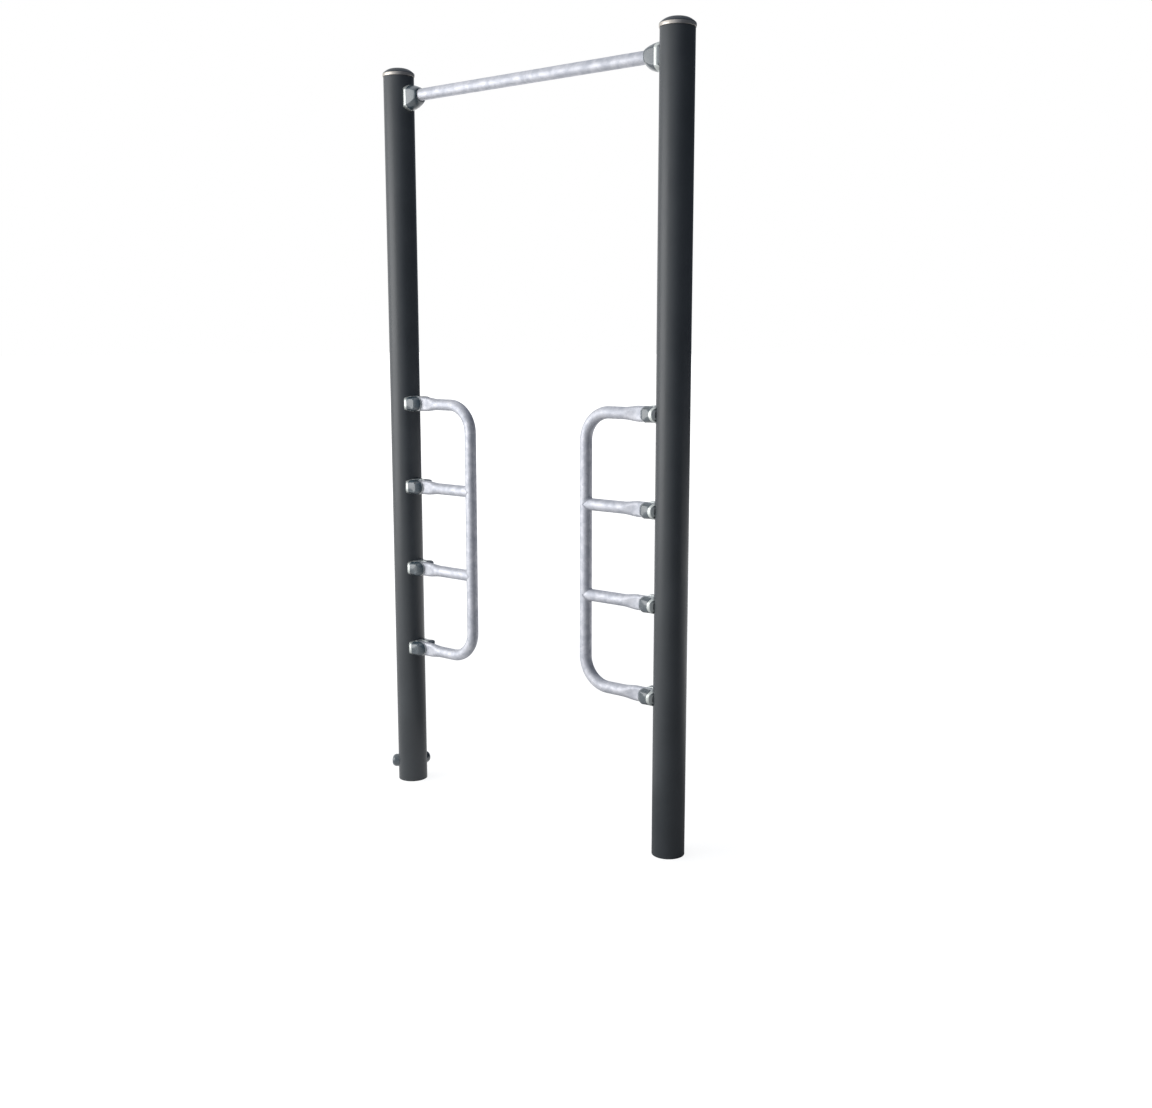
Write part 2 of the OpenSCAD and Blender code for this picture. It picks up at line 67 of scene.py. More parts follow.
def add_object(name, data):
    """Puts a camera, a lamp or a mesh into the scene as an object."""
    thing = bpy.data.objects.new(name, data)
    bpy.context.scene.collection.objects.link(thing)
    return thing


camera_data = bpy.data.cameras.new("camera")
camera_data.sensor_width = SENSOR_MM
camera_data.lens = FOCAL_PIXELS / IMAGE_WIDTH * SENSOR_MM
camera_data.clip_end = CLIP_END
camera = add_object("camera", camera_data)
camera.location = CAMERA_PLACE
camera.rotation_euler = (math.pi / 2 + CAMERA_TILT, 0.0, CAMERA_TURN)
bpy.context.scene.camera = camera
print("lens", round(camera_data.lens, 2), "mm")

# %% [markdown]
# Sizes come from the frame wherever it knows them. They are in metres, and MM
# turns millimetres into metres. A post's own frame has its axis at x = 0 and +X
# towards the other post, so that both sides share one description: the right
# side is the mirror image of the left one. Brackets count from the top: the first
# and the last hold the upright grip, and the two between them hold the rungs.

# %% Sizes from the frame
MM = 0.001
BRACKETS = 4
RUNGS = {"upper": 1, "lower": 2}


def middle(low, high):
    """Halfway between two values."""
    return (low + high) / 2


def middle_z(node):
    """How high the middle of a node is."""
    low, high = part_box(node)
    return middle(low.z, high.z)


post_low, post_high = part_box("left_post")
POST_R = (post_high.x - post_low.x) / 2
POST_X = -middle(post_low.x, post_high.x)
POST_H = post_high.z
bar_low, bar_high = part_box("pull_up_bar")
BAR_R = (bar_high.z - bar_low.z) / 2
BAR_Z = middle(bar_low.z, bar_high.z)
grip_low, grip_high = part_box("left_grip_tube")
TUBE_R = (grip_high.y - grip_low.y) / 2
TUBE_Y = middle(grip_low.y, grip_high.y)
TUBE_END = grip_low.x + POST_X
REACH = grip_high.x + POST_X - TUBE_R
RUNG_Z = [middle_z(f"left_saddle_{i}") for i in range(1, BRACKETS + 1)]
print("post radius", round(POST_R, 4), "rungs", [round(z, 3) for z in RUNG_Z])

# %% [markdown]
# Small tools for making meshes. A ring is a closed row of points, and a skin of
# four-sided faces joins one ring to the next. Everything round on this object
# is a row of rings: that gives even faces and clean highlights.

# %% Mesh helpers
SHARP_ANGLE = math.radians(38)
MERGE = 0.01 * MM
SIDES = {"left": -1, "right": 1}


def placed(point, side):
    """A point of a post's own frame, in the frame of the whole station."""
    x, y, z = point
    return (side * (POST_X - x), y, z)


def skin(rings, close_ends=True):
    """Vertices and faces that join rings of equal length."""
    count = len(rings[0])
    points = [point for ring in rings for point in ring]
    faces = []
    for row in range(len(rings) - 1):
        for i in range(count):
            j = (i + 1) % count
            a, b = row * count, (row + 1) * count
            faces.append((a + i, a + j, b + j, b + i))
    if close_ends:
        last = (len(rings) - 1) * count
        faces.append(tuple(reversed(range(count))))
        faces.append(tuple(range(last, last + count)))
    return points, faces


def tube_skin(outer, inner):
    """The skin of a hollow tube, from its outer and inner rings."""
    return skin(outer + inner[::-1] + outer[:1], close_ends=False)


def clean_mesh(name, points, faces):
    """A mesh with no doubled points, and with every face turned outwards."""
    mesh = bpy.data.meshes.new(name)
    mesh.from_pydata(points, [], faces)
    work = bmesh.new()
    work.from_mesh(mesh)
    bmesh.ops.remove_doubles(work, verts=work.verts, dist=MERGE)
    bmesh.ops.recalc_face_normals(work, faces=work.faces)
    work.to_mesh(mesh)
    work.free()
    return mesh


def make(name, points, faces, material, slot, nodes=()):
    """A smooth piece that rides on the station and stands for CAD nodes."""
    mesh = clean_mesh(name, points, faces)
    mesh.polygons.foreach_set("use_smooth", [True] * len(mesh.polygons))
    mesh.set_sharp_from_angle(angle=SHARP_ANGLE)
    mesh.materials.append(material)
    piece = add_object(name, mesh)
    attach(piece, "root")
    if nodes:
        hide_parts(*nodes)
    return piece


def turns(start, end, count):
    """Even steps from start, up to the last one before end."""
    return [start + (end - start) * i / count for i in range(count)]


def lathe(profile, steps, spot):
    """The skin of a closed profile of (radius, height) pairs, turned about an axis."""
    rings = [[spot(r * math.cos(angle), r * math.sin(angle), h) for r, h in profile]
             for angle in turns(0, math.tau, steps)]
    return skin(rings + rings[:1], close_ends=False)


def corner(centre, radius, start, end, steps=4):
    """Points along a rounded corner of a profile, with angles in degrees."""
    angles = [math.radians(start + (end - start) * i / steps) for i in range(steps + 1)]
    return [(centre[0] + radius * math.cos(a), centre[1] + radius * math.sin(a)) for a in angles]


print("helpers ready")

# %% [markdown]
# Colours are written as sRGB hex, as a paint card gives them, and one function
# turns them into the linear values that a shader needs. One more function adds
# a shader node with its settings and links. A noise's values mostly lie near
# the middle of 0 to 1, so each pattern is spread from there.

# %% Colour and node helpers
MID_NOISE = (0.35, 0.65)
WIDE_NOISE = (0.3, 0.7)


def linear(code):
    """An sRGB hex colour as linear RGBA, by the sRGB standard's formula."""
    parts = [int(code[i:i + 2], 16) / 255 for i in (1, 3, 5)]
    turned = [p / 12.92 if p <= 0.04045 else ((p + 0.055) / 1.055) ** 2.4 for p in parts]
    return (*turned, 1.0)


def add(tree, kind, settings=None, **links):
    """Adds a node, then sets or links its inputs, by name or by index."""
    node = tree.nodes.new("ShaderNode" + kind)
    for key, value in (settings or {}).items():
        setattr(node, key, value)
    for key, value in links.items():
        spot = int(key[1:]) if key[0] == "_" and key[1:].isdigit() else key.replace("_", " ")
        if isinstance(value, bpy.types.NodeSocket):
            tree.links.new(value, node.inputs[spot])
        else:
            node.inputs[spot].default_value = value
    return node


def finish_of(name, **sockets):
    """A new material with one Principled shader, and its node tree."""
    material = bpy.data.materials.new(name)
    material.use_nodes = True
    tree = material.node_tree
    shader = tree.nodes["Principled BSDF"]
    for key, value in sockets.items():
        shader.inputs[key.replace("_", " ")].default_value = value
    spot = add(tree, "TexCoord").outputs["Object"]
    return material, tree, shader, spot


def grain(tree, spot, size_mm, detail=2.0, stretch=(1, 1, 1)):
    """Noise whose blotches are about size_mm across."""
    scaled = add(tree, "Mapping", Vector=spot, Scale=stretch)
    noise = add(tree, "TexNoise", Vector=scaled.outputs[0], Scale=1 / (size_mm * MM), Detail=detail)
    return noise.outputs["Fac"]


def spread(tree, value, low, high, to_low, to_high, kind="LINEAR"):
    """Maps a value from one range to another."""
    node = add(tree, "MapRange", {"interpolation_type": kind}, Value=value, From_Min=low,
               From_Max=high, To_Min=to_low, To_Max=to_high)
    return node.outputs["Result"]


def reckon(tree, operation, first, second):
    """What a sum of two values comes to."""
    return add(tree, "Math", {"operation": operation}, _0=first, _1=second).outputs[0]


def tint(tree, factor, first, second):
    """Mixes two hex colours by a factor."""
    node = add(tree, "Mix", {"data_type": "RGBA"}, _0=factor, _6=linear(first), _7=linear(second))
    return node.outputs[2]


def colour_by(tree, shader, pattern, first, second):
    """Lets a pattern choose between two hex colours."""
    tree.links.new(tint(tree, pattern, first, second), shader.inputs["Base Color"])


def roughen(tree, shader, pattern, span, low, high):
    """Lets a span of a pattern's values set the roughness, from low to high."""
    tree.links.new(spread(tree, pattern, *span, low, high), shader.inputs["Roughness"])


def relief(tree, shader, height, depth_mm):
    """Bump from a height field that is depth_mm deep."""
    node = add(tree, "Bump", Height=height, Distance=depth_mm * MM)
    tree.links.new(node.outputs["Normal"], shader.inputs["Normal"])


print("colour helpers ready")

# %% [markdown]
# Polyester powder coat: pigment and resin, sprayed as powder on the steel tube
# and baked. It gives a dark satin grey with a fine orange peel, about 1.2 mm
# from bump to bump, and slightly uneven gloss.

# %% Powder coat
powder_coat, tree, shader, spot = finish_of(
    "powder_coat_anthracite", IOR=1.5, Specular_IOR_Level=0.65)
peel = grain(tree, spot, size_mm=1.2)
cloud = grain(tree, spot, size_mm=140)
colour_by(tree, shader, spread(tree, cloud, *MID_NOISE, 0, 1), "#3f4448", "#464b4f")
roughen(tree, shader, cloud, WIDE_NOISE, low=0.34, high=0.42)
relief(tree, shader, peel, depth_mm=0.05)
print("made", powder_coat.name)

# %% [markdown]
# Hot-dip galvanising: the welded tube is dipped in molten zinc. The zinc
# freezes in soft crystals, seen as a mottle of bluish white and pale grey, in
# blotches of about 25 mm with fainter ones of 12 mm inside them. Zinc is a
# metal, but its weathered skin is dull and scatters part of the light.

# %% Galvanised zinc
CRYSTAL_SIZE = 12 * MM
CRYSTAL_SHARE = 0.2
MOTTLE_SPAN = (0.34, 0.66)

galvanised, tree, shader, spot = finish_of("hot_dip_galvanised_zinc", Metallic=0.8)
blotch = grain(tree, spot, size_mm=25, detail=4.0)
crystal = add(tree, "TexVoronoi", Vector=spot, Scale=1 / CRYSTAL_SIZE).outputs["Color"]
shade = add(tree, "SeparateColor", Color=crystal).outputs["Red"]
mottle = add(tree, "Mix", _0=CRYSTAL_SHARE, _2=blotch, _3=shade).outputs[0]
colour_by(tree, shader, spread(tree, mottle, *MOTTLE_SPAN, 0, 1), "#cacdd5", "#e1e2e8")
roughen(tree, shader, blotch, MID_NOISE, low=0.64, high=0.56)
relief(tree, shader, grain(tree, spot, size_mm=3.0), depth_mm=0.04)
print("made", galvanised.name)

# %% [markdown]
# Cast aluminium, blasted and lacquered: the saddles and base plates. Fine
# blasting, about 0.8 mm, scatters the light, so that edges show as soft white
# lines.

# %% Cast aluminium
cast_alloy, tree, shader, spot = finish_of("blasted_cast_aluminium", Metallic=0.8)
skin_mottle = grain(tree, spot, size_mm=5, detail=3.0)
colour_by(tree, shader, skin_mottle, "#c9cfcc", "#e3e7e4")
roughen(tree, shader, skin_mottle, WIDE_NOISE, low=0.34, high=0.46)
relief(tree, shader, grain(tree, spot, size_mm=0.8), depth_mm=0.04)
print("made", cast_alloy.name)

# %% [markdown]
# Moulded polyamide: the covers over brackets and bolts. It is a dark blue-grey
# with a smooth satin skin that mirrors the studio softly, and a faint flow
# pattern from the mould.

# %% Moulded polyamide
polyamide, tree, shader, spot = finish_of(
    "moulded_polyamide_blue_grey", IOR=1.53, Specular_IOR_Level=0.8, Coat_Weight=1.0,
    Coat_Roughness=0.15)
flow = grain(tree, spot, size_mm=18, detail=3.0)
colour_by(tree, shader, spread(tree, flow, *MID_NOISE, 0, 1), "#394952", "#44555f")
roughen(tree, shader, flow, WIDE_NOISE, low=0.22, high=0.32)
relief(tree, shader, grain(tree, spot, size_mm=0.9), depth_mm=0.02)
print("made", polyamide.name)

# %% [markdown]
# Moulded polypropylene: the post caps. A dark slate blue, with a grained satin
# skin.

# %% Moulded polypropylene
polypropylene, tree, shader, spot = finish_of("moulded_polypropylene_slate", IOR=1.49)
scuff = grain(tree, spot, size_mm=9, detail=4.0)
colour_by(tree, shader, scuff, "#202c35", "#2a3842")
roughen(tree, shader, scuff, WIDE_NOISE, low=0.30, high=0.42)
relief(tree, shader, grain(tree, spot, size_mm=1.0), depth_mm=0.03)
print("made", polypropylene.name)

# %% [markdown]
# Turned stainless steel: the ring under each cap. Turning leaves fine grooves
# round the ring, here 0.5 mm apart, and the steel has a warm grey tone.

# %% Turned stainless steel
stainless, tree, shader, spot = finish_of("turned_stainless_steel", Metallic=1.0)
grooves = grain(tree, spot, size_mm=6, stretch=(1, 1, 12))
colour_by(tree, shader, grooves, "#c6c0b8", "#d8d2ca")
roughen(tree, shader, grooves, WIDE_NOISE, low=0.30, high=0.42)
relief(tree, shader, grooves, depth_mm=0.03)
print("made", stainless.name)

# %% [markdown]
# Two finishes that mostly hide inside: bright zinc plate on the fasteners, and
# the machined steel of the foot sleeves.

# %% Zinc plate and machined steel
zinc_plate, tree, shader, spot = finish_of("zinc_plated_steel", Metallic=1.0)
plate = grain(tree, spot, size_mm=2.5, detail=3.0)
colour_by(tree, shader, plate, "#a9acb3", "#c9cbd0")
roughen(tree, shader, plate, WIDE_NOISE, low=0.25, high=0.4)
machined, tree, shader, spot = finish_of("machined_steel", Metallic=1.0)
cuts = grain(tree, spot, size_mm=4, stretch=(1, 1, 10))
colour_by(tree, shader, cuts, "#7f8388", "#9a9ea3")
roughen(tree, shader, cuts, WIDE_NOISE, low=0.3, high=0.45)
relief(tree, shader, cuts, depth_mm=0.03)
print("made", zinc_plate.name, machined.name)

# %% [markdown]
# The posts are plain round tubes. The outer and inner edges are slightly
# rounded, as a sawn and deburred tube is, and the profile is turned about the
# post's axis.

# %% Posts
POST_WALL = 4 * MM
SAW_EDGE = 0.6 * MM
ROUND_STEPS = 128


def on_axis(side):
    """Places lathe points about a post's axis."""
    return lambda x, y, z: placed((x, y, z), side)


def washer_profile(inner, outer, low, high, edge):
    """A rectangle profile with rounded corners."""
    return (corner((outer - edge, low + edge), edge, -90, 0)
            + corner((outer - edge, high - edge), edge, 0, 90)
            + corner((inner + edge, high - edge), edge, 90, 180)
            + corner((inner + edge, low + edge), edge, 180, 270))


for name, side in SIDES.items():
    profile = washer_profile(POST_R - POST_WALL, POST_R, 0.0, POST_H, SAW_EDGE)
    points, faces = lathe(profile, ROUND_STEPS, on_axis(side))
    make(f"{name}_post_tube", points, faces, powder_coat, "post_coat", [f"{name}_post"])
print("made two posts,", round(POST_H, 3), "m high")

# %% [markdown]
# Each post top wears a steel ring and a plastic cap. The cap is one moulding:
# a plug inside the post, a low dome, and a flat disc set off by a fine step.
# The profile below runs along its outside and back through its hollow.

# %% Cap rings and caps
RING_EDGE = 0.5 * MM
CAP_WALL = 3 * MM
CAP_RIM = 1.6 * MM
CAP_RIM_EDGE = 0.7 * MM
DISC_R = 20.5 * MM
DISC_STEP = 0.7 * MM
DISC_EDGE = 0.25 * MM
DOME_STEPS = 14
SLIDE_GAP = 0.2 * MM

for name, side in SIDES.items():
    ring_low, ring_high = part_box(f"{name}_cap_ring")
    ring_r = (ring_high.x - ring_low.x) / 2
    profile = washer_profile(POST_R - POST_WALL, ring_r, ring_low.z, ring_high.z, RING_EDGE)
    points, faces = lathe(profile, ROUND_STEPS, on_axis(side))
    make(f"{name}_turned_ring", points, faces, stainless, "cap_ring_steel", [f"{name}_cap_ring"])

    cap_low, cap_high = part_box(f"{name}_post_cap")
    cap_r = (cap_high.x - cap_low.x) / 2
    plug_r = POST_R - POST_WALL - SLIDE_GAP
    base, top = ring_high.z, cap_high.z
    shoulder = base + CAP_RIM
    rise = top - DISC_STEP - shoulder
    profile = [(plug_r, cap_low.z), (plug_r, base), (cap_r - CAP_RIM_EDGE, base)]
    profile += corner((cap_r - CAP_RIM_EDGE, base + CAP_RIM_EDGE), CAP_RIM_EDGE, -90, 0)
    for i in range(DOME_STEPS + 1):
        share = 1 - i / DOME_STEPS
        profile.append((DISC_R + (cap_r - DISC_R) * share, shoulder + rise * (1 - share ** 2)))
    profile += corner((DISC_R - DISC_STEP - DISC_EDGE, top - DISC_EDGE), DISC_EDGE, 0, 90)
    profile += [(0.0, top), (0.0, base - CAP_WALL), (plug_r - CAP_WALL, base - CAP_WALL)]
    profile += [(plug_r - CAP_WALL, cap_low.z)]
    points, faces = lathe(profile, ROUND_STEPS, on_axis(side))
    make(f"{name}_moulded_cap", points, faces, polypropylene, "cap_plastic", [f"{name}_post_cap"])
print("made two rings and two caps")

# %% [markdown]
# The high bar is a plain galvanised tube. It is built of rings along X, and its
# ends, inside the holders, are slightly rounded.

# %% High bar
BAR_WALL = 3 * MM
BAR_STEPS = 96


def bar_spot(a, b, along):
    """Places lathe points about the bar's axis."""
    return (along, a, BAR_Z + b)


profile = washer_profile(BAR_R - BAR_WALL, BAR_R, bar_low.x, bar_high.x, SAW_EDGE)
points, faces = lathe(profile, BAR_STEPS, bar_spot)
make("high_bar_tube", points, faces, galvanised, "galvanised_tube", ["pull_up_bar"])
print("made the high bar,", round(bar_high.x - bar_low.x, 3), "m long")

# %% [markdown]
# A ladder tube is round, but pressed flat where its bracket grips it. Pressing
# steel doesn't shorten its skin, so each section keeps the length of the round
# tube's outline: a stadium, 20 mm thick and 48 mm high, that turns into a
# circle along a short, soft taper. The same function gives every section.

# %% Sections of a pressed tube
TUBE_WALL = 2.6 * MM
PRESSED = 20 * MM
SECTION_POINTS = 64


def pressed_section(radius, thickness):
    """Points (across, up) of a stadium whose outline is as long as the circle's."""
    bend = thickness / 2
    straight = math.pi * (2 * radius - thickness) / 4
    arc = math.pi * bend
    points = []
    for run in turns(0, math.tau * radius, SECTION_POINTS):
        if run < straight:
            points.append((bend, run))
        elif run < straight + arc:
            angle = (run - straight) / bend
            points.append((bend * math.cos(angle), straight + bend * math.sin(angle)))
        elif run < 3 * straight + arc:
            points.append((-bend, 2 * straight + arc - run))
        elif run < 3 * straight + 2 * arc:
            angle = (run - 3 * straight) / bend
            points.append((bend * math.cos(angle), bend * math.sin(angle) - straight))
        else:
            points.append((bend, run - 4 * straight - 2 * arc))
    return points


def tube_rings(stations, inset):
    """Rings along a path of (x, z, angle, flatness) stations, in a post's frame."""
    rings = []
    for x, z, angle, flatness in stations:
        radius = TUBE_R - inset
        thickness = 2 * radius + (PRESSED - 2 * TUBE_R) * flatness
        section = pressed_section(radius, thickness)
        rings.append([(x - up * math.sin(angle), TUBE_Y + across, z + up * math.cos(angle))
                      for across, up in section])
    return rings


flat_half = max(up for _, up in pressed_section(TUBE_R, PRESSED))
print("a pressed end is", round(2 * flat_half / MM, 1), "mm high")

# %% [markdown]
# The path of the upright grip: from the bracket, through the taper and a bend,
# down, and back. A bend is a row of stations on a quarter circle.

# %% Paths of the ladder tubes
FLAT_END = POST_R + 63 * MM
LAST_FLAT = FLAT_END - 20 * MM
TAPER_END = FLAT_END + 56 * MM
BEND_R = 90 * MM
TAPER_STEPS = 16
BEND_STEPS = 20


def smooth(share):
    """From 0 to 1 with a soft start and a soft end."""
    return share * share * (3 - 2 * share)


def leg(z):
    """Stations from the tube's end to the end of its taper, along +X."""
    stations = [(TUBE_END, z, 0.0, 1.0), (LAST_FLAT, z, 0.0, 1.0)]
    for i in range(TAPER_STEPS + 1):
        share = i / TAPER_STEPS
        stations.append((FLAT_END + (TAPER_END - FLAT_END) * share, z, 0.0, 1 - smooth(share)))
    return stations


def quarter(x, z, start):
    """Stations of a quarter bend to the right, about the point (x, z)."""
    stations = []
    for i in range(BEND_STEPS + 1):
        angle = start - math.pi / 2 * i / BEND_STEPS
        stations.append((x - BEND_R * math.sin(angle), z + BEND_R * math.cos(angle), angle, 0.0))
    return stations


grip_path = leg(RUNG_Z[0])
grip_path += quarter(REACH - BEND_R, RUNG_Z[0] - BEND_R, 0.0)
grip_path += quarter(REACH - BEND_R, RUNG_Z[-1] + BEND_R, -math.pi / 2)
grip_path += [(x, z, -math.pi, flatness) for x, z, _, flatness in reversed(leg(RUNG_Z[-1]))]
print("the upright grip has", len(grip_path), "stations")

# %% [markdown]
# The upright grips are skinned over that path, outside and inside. Both rungs
# of a ladder end in a cope, cut to the round of the upright: each line of the
# rung's skin simply runs until it meets the upright's surface.

# %% Upright grips and rungs
def mirrored(points, side):
    """All of a piece's points, in the frame of the whole station."""
    return [placed(point, side) for point in points]


def upright_skin(across):
    """Where the upright grip's skin is, at a distance across from its axis."""
    return REACH - math.sqrt(max(TUBE_R ** 2 - across ** 2, 0.0))


def coped(ring):
    """Moves a ring along X on to the skin of the upright grip."""
    return [(upright_skin(y - TUBE_Y), y, z) for _, y, z in ring]


for name, side in SIDES.items():
    points, faces = tube_skin(tube_rings(grip_path, 0.0), tube_rings(grip_path, TUBE_WALL))
    make(f"{name}_upright_grip", mirrored(points, side), faces, galvanised, "galvanised_tube",
         [f"{name}_grip_tube"])
    for rung, level in RUNGS.items():
        skins = []
        for inset in (0.0, TUBE_WALL):
            rings = tube_rings(leg(RUNG_Z[level]), inset)
            skins.append(rings + [coped(rings[-1])])
        points, faces = tube_skin(*skins)
        make(f"{name}_{rung}_rung_tube", mirrored(points, side), faces, galvanised,
             "galvanised_tube", [f"{name}_{rung}_rung"])
print("made two upright grips and four rungs")

# %% [markdown]
# A weld joins each rung to its upright. The bead follows the saddle-shaped line
# where the two tubes meet, and swells a little at each step of the welder's
# hand, about every 3 mm. That line is about a fifth longer than the rung's
# circle. The bead was galvanised with the tubes.

# %% Weld beads
BEAD_R = 1.7 * MM
BEAD_SWELL = 0.25 * MM
BEAD_STEP = 3.2 * MM
BEAD_STRETCH = 1.2
BEAD_POINTS = 168
BEAD_SIDES = 10
SMALL_TURN = 0.01


def bead_centre(angle):
    """A point of the line where rung and upright meet."""
    y, z = TUBE_R * math.cos(angle), TUBE_R * math.sin(angle)
    return Vector((upright_skin(y), TUBE_Y + y, z))


def bead_rings(level):
    """Rings of a bead round a rung, each square to the bead's path."""
    rings = []
    bumps = round(math.tau * TUBE_R * BEAD_STRETCH / BEAD_STEP)
    for angle in turns(0, math.tau, BEAD_POINTS):
        centre = bead_centre(angle)
        ahead = (bead_centre(angle + SMALL_TURN) - bead_centre(angle - SMALL_TURN)).normalized()
        third = ahead.cross(Vector((0.0, math.cos(angle), math.sin(angle)))).normalized()
        out = third.cross(ahead).normalized()
        radius = BEAD_R + BEAD_SWELL * abs(math.sin(bumps * angle / 2))
        ring = []
        for turn in turns(0, math.tau, BEAD_SIDES):
            point = centre + radius * (math.cos(turn) * out + math.sin(turn) * third)
            ring.append((point.x, point.y, point.z + RUNG_Z[level]))
        rings.append(ring)
    return rings


for name, side in SIDES.items():
    for rung, level in RUNGS.items():
        rings = bead_rings(level)
        points, faces = skin(rings + rings[:1], close_ends=False)
        make(f"{name}_{rung}_weld_bead", mirrored(points, side), faces, galvanised,
             "galvanised_tube")
print("made four weld beads")

# %% [markdown]
# A saddle is a cast block that hugs the post. Its face is a soft rectangle, and
# its back follows the post's round, then falls away at the wings. The seam
# between saddle and cover bows back towards the post at the wings' corners, so
# from the side it reads as a crescent. The block is made of rings of one
# outline: small ones in the middle of the face, the rounded edge, the wall, and
# back to the middle behind. One ring cuts a small edge's round in half: there the
# round has come in by three tenths of its radius.

# %% Blocks that hug a post
OUTLINE_POINTS = 96
OUTLINE_POWER = 2.95
CAST_EDGE = 1.0 * MM
BACK_EDGE = 1.2 * MM
INNER_SCALES = (0.02, 0.3, 0.6, 0.85)
EDGE_STEPS = 4
HALF_ROUND = 0.3
SEAM_BOW = 5 * MM
BOW_AT = 17.5 * MM
BOW_FROM = 15 * MM
BOW_TO = 40 * MM


def seam_bow(y, z):
    """How far the seam falls back towards the post at a place of the outline."""
    share = min(max((abs(y) - BOW_FROM) / (BOW_TO - BOW_FROM), 0.0), 1.0)
    return SEAM_BOW * (z / BOW_AT) ** 2 * smooth(share)


def saddle_outline(half_w, half_h):
    """A soft rectangle between an oval and a true one, as (y, z) points."""
    points = []
    for angle in turns(0, math.tau, OUTLINE_POINTS):
        c, s = math.cos(angle), math.sin(angle)
        points.append((half_w * math.copysign(abs(c) ** (2 / OUTLINE_POWER), c),
                       half_h * math.copysign(abs(s) ** (2 / OUTLINE_POWER), s)))
    return points


def hugging_block(outline, half_w, half_h, front, wing_angle, centre_z, bow=lambda y, z: 0.0):
    """Rings of a block with a round-edged face, flat but for bow, whose back fits the post."""
    wing = math.tan(math.radians(wing_angle))

    def back(y, z):
        on_post = math.sqrt(max(POST_R ** 2 - y ** 2, 0.0))
        return max(on_post, abs(y) / wing)

    def ring(inset, scale, depth):
        shape = outline(half_w - inset, half_h - inset)
        return [(depth(y * scale, z * scale), y * scale, centre_z + z * scale) for y, z in shape]

    rings = [ring(CAST_EDGE, scale, lambda y, z: front - bow(y, z)) for scale in INNER_SCALES]
    for i in range(EDGE_STEPS + 1):
        turn = math.pi / 2 * i / EDGE_STEPS
        drop = CAST_EDGE * (1 - math.cos(turn))
        rings.append(ring(CAST_EDGE * (1 - math.sin(turn)), 1.0,
                          lambda y, z, drop=drop: front - drop - bow(y, z)))
    rings.append(ring(0.0, 1.0, lambda y, z: back(y, z) + BACK_EDGE))
    cut = HALF_ROUND * BACK_EDGE
    rings.append(ring(cut, 1.0, lambda y, z: back(y, z) + cut))
    rings.append(ring(BACK_EDGE, 1.0, back))
    rings += [ring(BACK_EDGE, scale, back) for scale in reversed(INNER_SCALES)]
    return rings


print("block helper ready")

# %% [markdown]
# Two cheeks stand on the saddle and hold the flattened tube between them. Only
# their round edges show, as thin bright lines between tube and covers. Each is
# a plate with a half-round nose, built of rings of its own outline, and it is
# kept a little smaller than the covers, which overlap it.

# %% Cheek plates
CHEEK_T = 4.6 * MM
CHEEK_EDGE = 0.5 * MM
CHEEK_SHY = 0.7 * MM
CHEEK_ROOT = 6 * MM
NOSE_STEPS = 32

saddle_low, saddle_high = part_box("left_saddle_1")
cover_low, cover_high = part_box("left_front_cover_1")
rear_low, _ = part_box("left_rear_cover_1")
SADDLE_W = saddle_high.y
SADDLE_H = (saddle_high.z - saddle_low.z) / 2
SADDLE_FRONT = cover_low.x + POST_X
FRONT_SEAT = -cover_high.y
REAR_SEAT = rear_low.y
CHEEK_R = 25.6 * MM
BOLT_X = saddle_high.x + POST_X - CHEEK_R


def cheek_outline(inset):
    """A cheek's outline, as (x, z) points: square at the root, half round at the nose."""
    r = CHEEK_R - CHEEK_SHY - inset
    root = SADDLE_FRONT - CHEEK_ROOT + inset
    return [(root, r)] + corner((BOLT_X, 0.0), r, 90, -90, NOSE_STEPS) + [(root, -r)]


def cheek_rings(low_y, centre_z):
    """Rings of a cheek that starts at low_y, with both its edges rounded."""
    cut = HALF_ROUND * CHEEK_EDGE
    levels = [(CHEEK_EDGE, low_y), (cut, low_y + cut), (0.0, low_y + CHEEK_EDGE)]
    levels += [(inset, 2 * low_y + CHEEK_T - y) for inset, y in reversed(levels)]
    return [[(x, y, centre_z + z) for x, z in cheek_outline(inset)] for inset, y in levels]


print("cheeks reach", round((saddle_high.x + POST_X) / MM, 1), "mm from the post's axis")

# %% [markdown]
# Block and cheeks are cast as one piece. A boolean union joins them, and points
# that nearly touch along its seams are merged, so that no sliver is left.

# %% Saddles
SADDLE_WING = 47.8
SLIVER = 0.05 * MM


def fused(parts):
    """Points and faces of closed parts made one, without slivers along their seams."""
    base = parts[0]
    for part in parts[1:]:
        join = base.modifiers.new("join", "BOOLEAN")
        join.operation = "UNION"
        join.solver = "MANIFOLD"
        join.object = part
    bpy.context.view_layer.update()
    graph = bpy.context.evaluated_depsgraph_get()
    whole = bpy.data.meshes.new_from_object(base.evaluated_get(graph))
    work = bmesh.new()
    work.from_mesh(whole)
    bmesh.ops.remove_doubles(work, verts=work.verts, dist=SLIVER)
    bmesh.ops.dissolve_degenerate(work, edges=work.edges, dist=SLIVER)
    work.to_mesh(whole)
    work.free()
    for part in parts:
        bpy.data.objects.remove(part)
    return [tuple(v.co) for v in whole.vertices], [tuple(p.vertices) for p in whole.polygons]


def loose(points, faces):
    """A bare object, only a part for fused."""
    return add_object("loose", clean_mesh("loose", points, faces))


